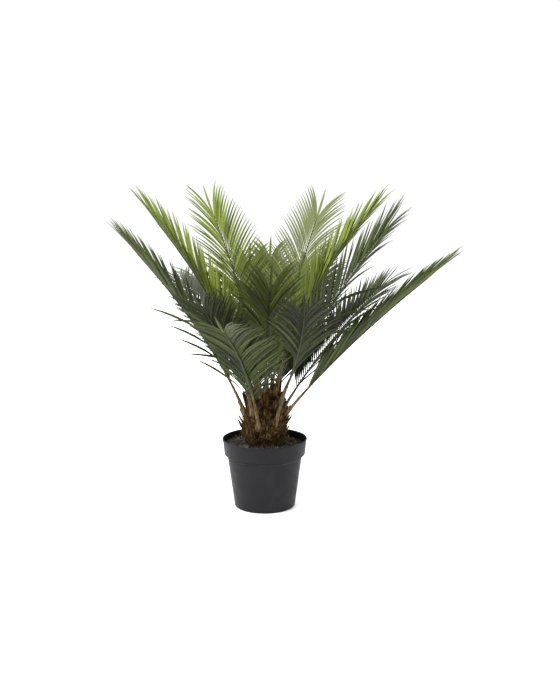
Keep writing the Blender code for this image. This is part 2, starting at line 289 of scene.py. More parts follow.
def hand_over(piece, slot, *nodes):
    """Gives a finished piece to the frame."""
    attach(piece, "root")
    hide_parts(*nodes)
    piece.data.calc_loop_triangles()
    print(piece.name, "triangles:", len(piece.data.loop_triangles))


# %% [markdown]
# ## The pot
# A nursery pot is one thin moulding: a tapered body, a deeper band round the top with a small step under
# it, a rolled lip, and a faint sloping ledge where pots rest when they are stacked. It is round all the
# way, so it is turned from a profile that runs from under the base, up the outside, over the lip and down
# the inside.

# %% The pot's profile
GAP = 0.0003  # between neighbouring pieces
POT_HEIGHT = 0.135
RIM_RADIUS = 0.0825
BAND_HEIGHT = 0.031
BAND_FOOT_RADIUS = 0.0785
BODY_TOP_RADIUS = 0.0730
BASE_RADIUS = 0.0593
WALL = 0.0025
CORNER = 0.0030
RECESS = 0.0012  # how far the middle of the underside stands off the floor
LIP = 0.0010  # how far the lip stands out from the band
LIP_HEIGHT = 0.0034
LEDGE_DROP = 0.0065  # from the foot of the band down to the ledge
LEDGE_HEIGHT = 0.0014
LEDGE_STAND = 0.0009  # how far the body comes in above the ledge
RING_WIDTH = 0.010  # of the standing ring round the recess
RING_SLOPE = 0.002
HOLLOW_HEIGHT = 0.0010  # of the hollow under the band
HOLLOW_IN = 0.0003  # where the hollow ends, in from the body and down from the band
HOLLOW_DOWN = 0.0002
BAND_EDGE = 0.0008  # rounding at the foot of the band
BAND_LEAN = 0.0001  # how far the band's top stands in under the lip
LIP_IN = 0.0002  # where the lip's foot ends, in from the rim and up from the band
LIP_RISE = 0.0006
SHOULDER_FALL = 0.0005  # how far the shoulder inside the band falls
FLOOR_EXTRA = 0.0003  # how much thicker the pot's bottom is than its wall
POT_STEPS = 144


def rounding(centre, radius, first, last, steps=5):
    """Points of a rounding, in degrees from outwards towards up."""
    turns = [math.radians(first + (last - first) * step / steps) for step in range(steps + 1)]
    return [(centre[0] + radius * math.cos(turn), centre[1] + radius * math.sin(turn)) for turn in turns]


def body_radius(height):
    """Radius of the pot's body below its band."""
    return BASE_RADIUS + (BODY_TOP_RADIUS - BASE_RADIUS) * height / (POT_HEIGHT - BAND_HEIGHT)


band_foot = POT_HEIGHT - BAND_HEIGHT
ledge_foot = band_foot - LEDGE_DROP
ledge_top = ledge_foot + LEDGE_HEIGHT
outside = [(0, RECESS), (BASE_RADIUS - RING_WIDTH - RING_SLOPE, RECESS), (BASE_RADIUS - RING_WIDTH, 0)]
outside += rounding((BASE_RADIUS - CORNER, CORNER), CORNER, -90, -8)
outside += [(body_radius(ledge_foot), ledge_foot), (body_radius(ledge_top) - LEDGE_STAND, ledge_top)]
outside += [(BODY_TOP_RADIUS - LEDGE_STAND, band_foot - HOLLOW_HEIGHT)]
outside += [(BODY_TOP_RADIUS - HOLLOW_IN, band_foot - HOLLOW_DOWN)]
outside += [(BAND_FOOT_RADIUS - BAND_EDGE, band_foot)]
outside += rounding((BAND_FOOT_RADIUS - BAND_EDGE, band_foot + BAND_EDGE), BAND_EDGE, -60, 0, 3)
band_top = (RIM_RADIUS - LIP - BAND_LEAN, POT_HEIGHT - LIP_HEIGHT)
lip = [band_top, (RIM_RADIUS - LIP_IN, POT_HEIGHT - LIP_HEIGHT + LIP_RISE)]
lip += rounding((RIM_RADIUS - WALL / 2, POT_HEIGHT - WALL / 2), WALL / 2, 5, 175, 8)
inside = [(BAND_FOOT_RADIUS - WALL, band_foot + WALL)]
inside += [(BODY_TOP_RADIUS - WALL, band_foot + WALL - SHOULDER_FALL)]
inside += [(BASE_RADIUS - WALL, WALL + FLOOR_EXTRA), (0, WALL + FLOOR_EXTRA)]
print("pot profile points:", len(outside + lip + inside))

# %% [markdown]
# The plastic is nearly black with a satin face. Moulded plastic is never a mirror: a fine grain breaks up
# the shine, and handling leaves faint paler patches. The grain is a bump, and the patches go into the
# colour and the roughness. The ledge is painted paler as a painted highlight, and the inside is painted
# darker as painted shade. One mesh may hold several materials: each face picks one by its index.

# %% The pot's plastic
pot_finish, nodes, shader = new_finish("pot_plastic", 0.5, 0.10)
tone = patches(nodes, 22, detail=5.0)
colour = ramp(nodes, tone, ((0.30, (25, 25, 27)), (0.55, (29, 29, 31)), (0.75, (35, 35, 37))))
nodes.feed(shader.inputs["Base Color"], colour)
nodes.feed(shader.inputs["Roughness"], between(nodes, patches(nodes, 60, detail=3.0), 0.42, 0.58))
bump(nodes, shader, patches(nodes, 900, detail=2.0), 0.00012, 0.35)

# Painted shade: the inside faces get a darker plastic than the outside, standing in for the shade inside the
# pot.
inside_shade_finish, nodes, shader = new_finish("pot_inside", 0.8, 0.1)
shader.inputs["Base Color"].default_value = linear((13, 13, 14))
bump(nodes, shader, patches(nodes, 500, detail=2.0), 0.0002, 0.4)

# Painted highlight: the ledge's faces get a paler plastic, standing in for the light its edge catches from
# above.
ledge_highlight_finish, nodes, shader = new_finish("pot_worn_edge", 0.5, 0.2)
colour = ramp(nodes, patches(nodes, 30), ((0.35, (34, 34, 36)), (0.60, (58, 58, 61))))
nodes.feed(shader.inputs["Base Color"], colour)
bump(nodes, shader, patches(nodes, 900, detail=2.0), 0.00012, 0.35)

pot = turned("pot_shell", outside + lip + inside, POT_STEPS, pot_finish)
pot.data.materials.append(inside_shade_finish)
pot.data.materials.append(ledge_highlight_finish)
# Faces on the ledge take the painted highlight, and inward faces below the lip take the painted shade.
for face in pot.data.polygons:
    if ledge_foot < face.center.z < ledge_top:
        face.material_index = 2
    inward = face.normal.dot(Vector((face.center.x, face.center.y, 0))) < 0
    if inward and face.center.z < POT_HEIGHT - WALL:
        face.material_index = 1
smooth(pot, 32)
hand_over(pot, "pot", "pot")

# %% [markdown]
# ## The fill
# Dark peat shows between the trunk and the pot's wall, and its surface is never level. It is turned with
# many close rings, and each point of its top is then lifted or lowered by noise. Its edge stays just inside
# the wall.

# %% The fill's surface
FILL_TOP = 0.1225
FILL_RELIEF = 0.0040
CRUMBS = 0.35  # how high crumbs stand, next to clods
FILL_EDGE_DROP = 0.0030  # how far below its top the fill meets the wall
FILL_SHOULDER = 0.0002  # how far below the band's inner foot the fill starts to widen
FILL_STEPS = 120
FILL_RINGS = 30
RING_CROWDING = 0.8  # below 1, rings lie closer together near the edge


def uneven(point):
    """Lifts or lowers a point of the fill's top by clods and crumbs."""
    if point.z < FILL_TOP - GAP:
        return point
    clods = noise.fractal(point * 60, 1.0, 2.0, 4) * FILL_RELIEF
    crumbs = noise.noise(point * 420) * FILL_RELIEF * CRUMBS
    return point + Vector((0, 0, clods + crumbs))


side = WALL + GAP * 1.5
band_lean = (RIM_RADIUS - BAND_FOOT_RADIUS) / BAND_HEIGHT
fill_edge = BAND_FOOT_RADIUS - side + (FILL_TOP - band_foot - WALL) * band_lean
fill_profile = [(0, WALL + 2 * GAP), (BASE_RADIUS - side, WALL + 2 * GAP)]
fill_profile += [(BODY_TOP_RADIUS - side, band_foot + WALL - FILL_SHOULDER)]
fill_profile += [(fill_edge, FILL_TOP - FILL_EDGE_DROP)]
for ring in range(FILL_RINGS + 1):
    fill_profile.append((fill_edge * (1 - ring / FILL_RINGS) ** RING_CROWDING, FILL_TOP))

peat_finish, nodes, shader = new_finish("peat", 0.95, 0.2)
tone = patches(nodes, 260, detail=8.0, roughness=0.7)
peats = ((0.32, (6, 6, 3)), (0.50, (16, 16, 8)), (0.62, (34, 34, 20)), (0.75, (64, 64, 44)))
colour = ramp(nodes, tone, peats)
nodes.feed(shader.inputs["Base Color"], colour)
bump(nodes, shader, patches(nodes, 700, detail=4.0), 0.0008, 0.9)
fill = turned("fill_surface", fill_profile, FILL_STEPS, peat_finish, uneven)
fill.data.shade_smooth()

# %% [markdown]
# ## Helpers for Geometry Nodes
# Moss, fibres, leaf bases, stems and leaflets all repeat, so Geometry Nodes make them. Each tree takes a
# mesh to work on and named sizes, and most take a small pattern piece too, which is copied to many points.
# An input of a modifier is set by its identifier, which is looked up from its name here. The result is then
# kept as a plain mesh and the modifier is dropped.

# %% Helpers for Geometry Nodes
SOCKETS = {
    float: "NodeSocketFloat",
    int: "NodeSocketInt",
    "object": "NodeSocketObject",
    "material": "NodeSocketMaterial",
}


def new_tree(name, inputs):
    """A tree with named inputs, given as {name: default or kind}. Returns its nodes and input sockets."""
    tree = bpy.data.node_groups.new(name, "GeometryNodeTree")
    tree.interface.new_socket("Geometry", in_out="OUTPUT", socket_type="NodeSocketGeometry")
    tree.interface.new_socket("Geometry", in_out="INPUT", socket_type="NodeSocketGeometry")
    for label, default in inputs.items():
        kind = default if isinstance(default, str) else type(default)
        socket = tree.interface.new_socket(label, in_out="INPUT", socket_type=SOCKETS[kind])
        if not isinstance(default, str):
            socket.default_value = default
    nodes = Nodes(tree)
    return nodes, nodes.add("NodeGroupInput").outputs


def end_tree(nodes, geometry, material):
    """Ends a tree: instances become real faces and take their material."""
    real = nodes.add("GeometryNodeRealizeInstances", {"Geometry": geometry}).outputs[0]
    painted = nodes.add("GeometryNodeSetMaterial", {"Geometry": real, "Material": material}).outputs[0]
    nodes.add("NodeGroupOutput", {"Geometry": painted})


def end_with_copies(nodes, given, points, rotation, scale):
    """Ends a tree with a copy of its pattern piece on each point."""
    pattern = nodes.add("GeometryNodeObjectInfo", {"Object": given["Pattern"]}).outputs["Geometry"]
    copies = {"Points": points, "Instance": pattern, "Rotation": rotation, "Scale": scale}
    end_tree(nodes, nodes.add("GeometryNodeInstanceOnPoints", copies).outputs[0], given["Material"])


def grow(name, source, nodes, values):
    """Runs a tree on a mesh object with these input values and returns the result as a plain mesh object."""
    made = bpy.data.objects.new(name, source.data)
    scene.collection.objects.link(made)
    modifier = made.modifiers.new(nodes.tree.name, "NODES")
    modifier.node_group = nodes.tree
    for item in nodes.tree.interface.items_tree:
        if item.in_out == "INPUT" and item.name in values:
            modifier[item.identifier] = values[item.name]
    evaluated = made.evaluated_get(bpy.context.evaluated_depsgraph_get())
    plain = bpy.data.meshes.new_from_object(evaluated)
    made.modifiers.clear()
    made.data = plain
    return made


def rand(nodes, low, high, seed):
    """A random number for each point or instance."""
    kind = "FLOAT_VECTOR" if isinstance(low, tuple) else "FLOAT"
    node = nodes.add("FunctionNodeRandomValue", data_type=kind)
    first = 0 if kind == "FLOAT_VECTOR" else 2
    nodes.feed(node.inputs[first], low)
    nodes.feed(node.inputs[first + 1], high)
    nodes.feed(node.inputs["Seed"], seed)
    return node.outputs[0 if kind == "FLOAT_VECTOR" else 1]


# %% [markdown]
# ## Strands
# Moss and coconut fibre are both loose strands. One pattern strand is a thin tapering tube along +Z that
# bows over towards +X. It has three sides only, because very many copies are scattered and most are about a
# millimetre thick.

# %% A pattern strand
STRAND_TAPER = 0.75  # how much thinner the tip is than the foot
STRAND_STOOP = 0.25  # how much lower the tip is than on a straight strand
STRAND_WAVE = 4  # radians of a wave from foot to tip


def strand(name, length, thickness, bow, curl, rings=6):
    """A three-sided tapering tube that starts upright, bows towards +X and curls towards +Y."""
    points = []
    for ring in range(rings):
        share = ring / (rings - 1)
        height = length * share * (1 - STRAND_STOOP * share)
        middle = Vector((bow * share**2, curl * math.sin(share * STRAND_WAVE), height))
        radius = thickness / 2 * (1 - STRAND_TAPER * share)
        for corner in range(3):
            turn = math.tau * corner / 3
            points.append(middle + Vector((radius * math.cos(turn), radius * math.sin(turn), 0)))
    ends = [(0, 1, 2), tuple(range(len(points) - 3, len(points)))]
    return mesh_object(name, points, ends + tube_faces(points, 3))


# %% [markdown]
# ## Moss
# Strands of dry moss lie in loose tufts on the peat. The tree scatters points over the upward faces of the
# fill, only where a noise is high enough so that tufts form, turns a strand to a random angle on each, and
# realises them. A second, sparser run in a rust colour gives the bits of bark among them.

# %% Moss
MOSS_TILT = 1.5  # radians about X and about Y, at most


def scatter_tree(name, tilt):
    """A tree that scatters tufts of a pattern piece over the upward faces of a mesh."""
    nodes, given = new_tree(name, {
        "Pattern": "object", "Density": 1000.0, "Reach": 0.06, "Tuft size": 60.0, "Tuft floor": 0.5,
        "Smallest": 0.5, "Largest": 1.2, "Seed": 1, "Material": "material"})
    normal = nodes.add("GeometryNodeInputNormal").outputs[0]
    upward = nodes.math("GREATER_THAN", nodes.add("ShaderNodeSeparateXYZ", {0: normal}).outputs["Z"], 0.5)
    flat = nodes.vector("MULTIPLY", nodes.add("GeometryNodeInputPosition").outputs[0], (1.0, 1.0, 0.0))
    radius = nodes.add("ShaderNodeVectorMath", {0: flat}, operation="LENGTH").outputs["Value"]
    chosen = nodes.math("MULTIPLY", upward, nodes.math("LESS_THAN", radius, given["Reach"]))
    tufts = nodes.add("ShaderNodeTexNoise", {"Scale": given["Tuft size"], "Detail": 2.0}).outputs["Fac"]
    dense = nodes.math("MULTIPLY", given["Density"], nodes.math("GREATER_THAN", tufts, given["Tuft floor"]))
    spread = nodes.add("GeometryNodeDistributePointsOnFaces", {
        "Mesh": given["Geometry"], "Selection": chosen, "Density": dense, "Seed": given["Seed"]})
    turn = nodes.add("FunctionNodeEulerToRotation",
                     {0: rand(nodes, (-tilt, -tilt, 0.0), (tilt, tilt, math.tau), given["Seed"])}).outputs[0]
    size = rand(nodes, given["Smallest"], given["Largest"], given["Seed"])
    end_with_copies(nodes, given, spread.outputs["Points"], turn, size)
    return nodes


def strand_finish(name, colours, roughness=0.85):
    """A dull finish for strands: a few close colours in patches and a fine relief."""
    made, nodes, shader = new_finish(name, roughness, 0.1)
    colour = ramp(nodes, patches(nodes, 90), tuple(zip((0.35, 0.5, 0.65), colours)))
    nodes.feed(shader.inputs["Base Color"], colour)
    bump(nodes, shader, patches(nodes, 1500, detail=2.0), 0.0002, 0.5)
    return made


moss_finish = strand_finish("moss", ((28, 33, 20), (68, 76, 54), (124, 132, 110)))
rust_finish = strand_finish("bark_bits", ((66, 36, 20), (96, 58, 34), (130, 92, 60)))
moss_strand = strand("moss_strand", length=0.012, thickness=0.0012, bow=0.006, curl=0.0025)
bark_strand = strand("bark_strand", length=0.010, thickness=0.0022, bow=0.002, curl=0.001, rings=4)
moss_tree = scatter_tree("moss_tufts", MOSS_TILT)
moss = grow("moss_tufts", fill, moss_tree,
            {"Pattern": moss_strand, "Density": 70000.0, "Reach": fill_edge - 0.009, "Tuft size": 75.0,
             "Tuft floor": 0.46, "Seed": 4, "Smallest": 0.5, "Largest": 1.1, "Material": moss_finish})
bits = grow("bark_bits", fill, moss_tree,
            {"Pattern": bark_strand, "Density": 8000.0, "Reach": fill_edge - 0.008, "Tuft size": 40.0,
             "Tuft floor": 0.35, "Seed": 9, "Smallest": 0.4, "Largest": 1.0, "Material": rust_finish})
hand_over(fill, "fill", "fill")
hand_over(moss, "fill", "fill")
hand_over(bits, "fill", "fill")
bpy.data.objects.remove(moss_strand)
bpy.data.objects.remove(bark_strand)

# %% [markdown]
# ## The trunk
# The trunk is a stout bulb of coconut fibre. Close to, it is upright ridges and hollows with darker gaps
# between them. A fine turned mesh follows the trunk's true profile, and noise that is stretched upright
# pushes each point in or out, so the ridges are real shape and catch the light at the silhouette too.

# %% The trunk's core
TRUNK_PROFILE = (  # height above the fill, and radius
    (0.0000, 0.0345),
    (0.0115, 0.0385),
    (0.0245, 0.0420),
    (0.0355, 0.0430),
    (0.0535, 0.0405),
    (0.0695, 0.0350),
    (0.0835, 0.0285),
    (0.0945, 0.0220),
    (0.1005, 0.0140),
)
TRUNK_STEPS = 180
TRUNK_RINGS = 90
TRUNK_SUNK = 0.002  # how far the trunk goes down into the fill
TRUNK_DOME = 0.002  # how far the very top stands above the last ring
WAIST = 0.04  # a middling radius, so that noise is as fine all the way up
RIDGE = 0.0016
RIDGE_GRAIN = (520, 70)  # how fine the noise is round the trunk and upwards
FINE_RIDGE = 0.4  # next to a ridge
FINE_GRAIN = (1500, 160)
LUMP = 0.0022
LUMP_GRAIN = (70, 60)


def trunk_radius(height):
    """Radius of the trunk's core at a height above the ground."""
    above = height - FILL_TOP
    for (low, low_radius), (high, high_radius) in zip(TRUNK_PROFILE, TRUNK_PROFILE[1:]):
        if above <= high:
            return low_radius + (high_radius - low_radius) * max(above - low, 0) / (high - low)
    return TRUNK_PROFILE[-1][1]


def fibrous(point):
    """Pushes a point of the trunk in or out by upright ridges and by broader lumps."""
    outward = Vector((point.x, point.y, 0))
    if not outward.length:
        return point
    around = outward.normalized() * WAIST

    def grain(wide, high):
        return Vector((around.x * wide, around.y * wide, point.z * high))

    ridges = noise.noise(grain(*RIDGE_GRAIN))
    fine = noise.noise(grain(*FINE_GRAIN))
    lumps = noise.fractal(grain(*LUMP_GRAIN), 1.0, 2.0, 3)
    return point + outward.normalized() * (RIDGE * (ridges + FINE_RIDGE * fine) + LUMP * lumps)


trunk_top = TRUNK_PROFILE[-1][0]
trunk_profile = [(0, FILL_TOP - TRUNK_SUNK)]
for ring in range(TRUNK_RINGS + 1):
    height = FILL_TOP - TRUNK_SUNK + (trunk_top + TRUNK_SUNK) * ring / TRUNK_RINGS
    trunk_profile.append((trunk_radius(height), height))
trunk_profile.append((0, FILL_TOP + trunk_top + TRUNK_DOME))
print("trunk profile points:", len(trunk_profile))

# %% [markdown]
# Coconut fibre is dull and brown, up to straw on single fibres, with a little moss green. Its darkest
# streaks are near black, painted shade for the gaps between fibres. Noises on coordinates that are
# stretched upright give the streaks and the relief, and a broad one lets moss in. One more noise multiplies
# the colour in soft patches of painted shade, like the shade between stubs that crowd together.

# %% The trunk's finish
def shaded(nodes, colour, scale):
    """A colour, darker in patches as if in the shade of the stubs round it."""
    patch = patches(nodes, scale, detail=2.0)
    shade = ramp(nodes, patch, ((0.36, (120, 112, 104)), (0.56, (255, 255, 255))))
    settings = {0: 1.0, 6: colour, 7: shade}
    return nodes.add("ShaderNodeMix", settings, data_type="RGBA", blend_type="MULTIPLY").outputs[2]


trunk_finish, nodes, shader = new_finish("coconut_fibre", 0.92, 0.08)
streaks = patches(nodes, 420, (1, 1, 0.10), detail=6.0, roughness=0.7)
# The darkest stops of both ramps are painted shade for the gaps between fibres; the rest is the fibre's own
# brown and moss.
browns = ((0.34, (7, 4, 1)), (0.46, (28, 18, 5)), (0.57, (62, 44, 17)), (0.70, (128, 102, 60)))
brown = ramp(nodes, streaks, browns)
mossy = ramp(nodes, streaks, ((0.36, (13, 12, 3)), (0.52, (43, 42, 13)), (0.68, (102, 97, 48))))
where = ramp(nodes, patches(nodes, 45, detail=3.0), ((0.48, (0, 0, 0)), (0.62, (200, 200, 200))))
mixed = nodes.add("ShaderNodeMix", {0: where, 6: brown, 7: mossy}, data_type="RGBA").outputs[2]
nodes.feed(shader.inputs["Base Color"], shaded(nodes, mixed, 50))
bump(nodes, shader, patches(nodes, 900, (1, 1, 0.08), detail=5.0), 0.0012, 0.9)

trunk = turned("trunk_core", trunk_profile, TRUNK_STEPS, trunk_finish, fibrous)
trunk.data.shade_smooth()
hand_over(trunk, "trunk", "trunk")

# %% [markdown]
# ## Leaf bases
# When an old frond is cut off, the foot of its stem stays on the trunk as a stub. One stub is an arched
# strap that ends in a ragged cut. Its pattern is made from rings of points that shrink along its length,
# with the last rings pushed to and fro so that no two corners of the cut are level.

# %% A pattern leaf base
STUB_BEND = 0.10  # how far a stub's cut end bends up, next to its length


def leaf_base(name, length, width, thickness):
    """A stub along +X: an arched strap that narrows, bends up a little and ends in a ragged cut."""
    rows = ((-0.25, 1.25), (0.10, 1.15), (0.40, 1.0), (0.70, 0.86), (0.92, 0.74), (1.0, 0.55))
    arch = ((1, 0.0), (0.72, 0.62), (0.25, 1.0), (-0.25, 1.0), (-0.72, 0.62), (-1, 0.0))
    corners = arch + ((-0.5, -0.5), (0.5, -0.5))
    rags = (0.10, -0.06, 0.12, 0.0, -0.08, 0.09, -0.04, 0.03)
    points = []
    for row, (along, size) in enumerate(rows):
        for (across, deep), rag in zip(corners, rags):
            reach = along + (rag if row >= len(rows) - 2 else 0)
            lift = STUB_BEND * max(reach, 0) ** 2 * length
            points.append((reach * length, across * size * width / 2, deep * size * thickness / 2 + lift))
    sides = len(corners)
    ends = [tuple(range(sides)), tuple(range(len(points) - sides, len(points)))]
    return mesh_object(name, points, ends + tube_faces(points, sides))


# %% [markdown]
# Leaf bases stand in a spiral: each one is 137.5 degrees on from the last, so no two stand over each other.
# The tree makes a line of points, turns each by its index, and casts a ray outwards from the middle to find
# the fibre's surface there. Low stubs lean well out, and high ones stand nearly upright.

# %% The spiral of leaf bases
TURN_JITTER = 9.0  # degrees
HEIGHT_JITTER = 0.0015
RISE_JITTER = 7.0  # degrees
SIZE_JITTER = 0.14
TWIST_JITTER = 0.25  # radians, about the stub's own length


def spiral_tree():
    """A tree that sets a pattern piece in a spiral round whatever mesh it is given."""
    nodes, given = new_tree("leaf_base_spiral", {
        "Pattern": "object", "Count": 34, "Turn": 137.5, "Foot": 0.0, "Lowest": 0.0, "Highest": 0.1,
        "Sunk": 0.005, "Low rise": 42.0, "High rise": 80.0, "Low size": 0.8, "High size": 1.2, "Seed": 1,
        "Material": "material"})
    count = nodes.add("GeometryNodeMeshLine", {"Count": given["Count"]})
    index = nodes.add("GeometryNodeInputIndex").outputs[0]
    share = nodes.math("DIVIDE", index, nodes.math("SUBTRACT", given["Count"], 1))
    uneven_turn = rand(nodes, -TURN_JITTER, TURN_JITTER, given["Seed"])
    turn = nodes.math("ADD", nodes.math("MULTIPLY", index, given["Turn"]), uneven_turn)
    heading = nodes.math("RADIANS", turn)

    def rising(low, high, jitter, seed):
        step = nodes.math("MULTIPLY", nodes.math("SUBTRACT", high, low), share)
        return nodes.math("ADD", nodes.math("ADD", low, step), rand(nodes, -jitter, jitter, seed))

    height = nodes.math("ADD", given["Foot"], rising(given["Lowest"], given["Highest"], HEIGHT_JITTER, 5))
    middle = nodes.add("ShaderNodeCombineXYZ", {"Z": height}).outputs[0]
    compass = {"X": nodes.math("COSINE", heading), "Y": nodes.math("SINE", heading)}
    outward = nodes.add("ShaderNodeCombineXYZ", compass).outputs[0]
    ray = nodes.add("GeometryNodeRaycast", {
        "Target Geometry": given["Geometry"], "Source Position": middle, "Ray Direction": outward,
        "Ray Length": 0.2})
    seat = nodes.vector("SUBTRACT", ray.outputs["Hit Position"], nodes.scaled(outward, given["Sunk"]))
    points = nodes.add("GeometryNodeSetPosition", {"Geometry": count.outputs[0], "Position": seat}).outputs[0]
    rise = nodes.math("RADIANS", rising(given["Low rise"], given["High rise"], RISE_JITTER, 6))
    twist = rand(nodes, -TWIST_JITTER, TWIST_JITTER, 8)
    angles = {"X": twist, "Y": nodes.math("MULTIPLY", rise, -1.0), "Z": heading}
    euler = nodes.add("ShaderNodeCombineXYZ", angles).outputs[0]
    rotation = nodes.add("FunctionNodeEulerToRotation", {0: euler}).outputs[0]
    size = rising(given["Low size"], given["High size"], SIZE_JITTER, 7)
    end_with_copies(nodes, given, points, rotation, size)
    return nodes


spiral = spiral_tree()

# %% [markdown]
# The stubs are smoother than the fibre round them, so their streaks are broader and run up to a paler
# straw. The long narrow ones round the top stand almost straight up between the stems, with dark gaps
# between them. One tree makes both kinds from different values, which is what its named inputs are for.

# %% Leaf bases and top stubs
BASE_TURN = 137.5  # degrees
BASE_STUB = (0.026, 0.0092, 0.0050)  # length, width and thickness
BASE_COUNT = 72
BASE_HEIGHTS = (0.006, 0.094)  # above the fill, lowest and highest
BASE_RISES = (42.0, 76.0)  # degrees above level, lowest and highest
BASE_SIZES = (0.85, 1.25)  # lowest and highest
TOP_STUB = (0.034, 0.0105, 0.0050)
TOP_COUNT = 22
TOP_HEIGHTS = (0.046, 0.080)
TOP_RISES = (58.0, 80.0)
TOP_SIZES = (0.85, 1.15)

base_finish, nodes, shader = new_finish("leaf_base_bark", 0.85, 0.08)
streaks = patches(nodes, 300, (1, 1, 0.16), detail=6.0, roughness=0.7)
browns = ((0.34, (10, 6, 1)), (0.46, (36, 24, 8)), (0.58, (80, 60, 29)), (0.70, (144, 117, 74)))
nodes.feed(shader.inputs["Base Color"], shaded(nodes, ramp(nodes, streaks, browns), 70))
bump(nodes, shader, patches(nodes, 800, (1, 1, 0.12), detail=4.0), 0.0008, 0.9)


def grow_stubs(name, stub, count, heights, rises, sizes, seed):
    """Stubs of one kind in a spiral round the trunk, handed over as one piece."""
    pattern_stub = leaf_base(name + "_pattern", *stub)
    stubs = grow(name, trunk, spiral, {
        "Pattern": pattern_stub, "Count": count, "Turn": BASE_TURN, "Foot": FILL_TOP,
        "Lowest": heights[0], "Highest": heights[1], "Low rise": rises[0], "High rise": rises[1],
        "Low size": sizes[0], "High size": sizes[1], "Seed": seed, "Material": base_finish})
    smooth(stubs, 50)
    hand_over(stubs, "trunk", "trunk")
    bpy.data.objects.remove(pattern_stub)


grow_stubs("leaf_bases", BASE_STUB, BASE_COUNT, BASE_HEIGHTS, BASE_RISES, BASE_SIZES, seed=3)
grow_stubs("top_stubs", TOP_STUB, TOP_COUNT, TOP_HEIGHTS, TOP_RISES, TOP_SIZES, seed=12)

# %% [markdown]
# ## Loose fibres
# Frayed fibres stand off the trunk all over and soften its outline. The tree scatters points on the trunk,
# turns each strand's bow away from the trunk by aligning it with the surface, and adds a small random tilt.

# %% Loose fibres
FIBRE_TILTS = ((-0.45, -0.25, -0.9), (0.45, 0.50, 0.9))  # radians, least and most


def fibre_tree():
    """A tree that stands strands on a mesh, each bowed away from it."""
    nodes, given = new_tree("loose_fibres", {
        "Pattern": "object", "Density": 1000.0, "Smallest": 0.5, "Largest": 1.3, "Seed": 1,
        "Material": "material"})
    spread = nodes.add("GeometryNodeDistributePointsOnFaces",
                       {"Mesh": given["Geometry"], "Density": given["Density"], "Seed": given["Seed"]})
    facing = nodes.add("FunctionNodeAlignRotationToVector", {"Vector": spread.outputs["Normal"]},
                       axis="X", pivot_axis="Z").outputs[0]
    tilt = nodes.add("FunctionNodeEulerToRotation", {0: rand(nodes, *FIBRE_TILTS, given["Seed"])}).outputs[0]
    turned_by = nodes.add("FunctionNodeRotateRotation", {"Rotation": facing, "Rotate By": tilt},
                          rotation_space="LOCAL").outputs[0]
    size = rand(nodes, given["Smallest"], given["Largest"], given["Seed"])
    end_with_copies(nodes, given, spread.outputs["Points"], turned_by, size)
    return nodes


fibre_finish = strand_finish("loose_fibre", ((44, 30, 10), (88, 66, 34), (150, 122, 78)))
fibre_strand = strand("fibre_strand", length=0.015, thickness=0.0007, bow=0.0035, curl=0.0006)
fibres = grow("loose_fibres", trunk, fibre_tree(),
              {"Pattern": fibre_strand, "Density": 75000.0, "Seed": 11, "Smallest": 0.5, "Largest": 1.3,
               "Material": fibre_finish})
hand_over(fibres, "trunk", "trunk")
bpy.data.objects.remove(fibre_strand)

# %% [markdown]
# ## Where the fronds run
# Each frond leaves the trunk steeply and bends over, most near its foot. Its line is worked out from a few
# named sizes: where it starts, how steep it is at each end, and how far it turns sideways. The same rule
# made the solids, so the finer stems and leaflets keep to the same space.

# %% Where the fronds run
Frond = namedtuple("Frond", "name heading height radius length rise_foot rise_tip sweep roll spread tints")
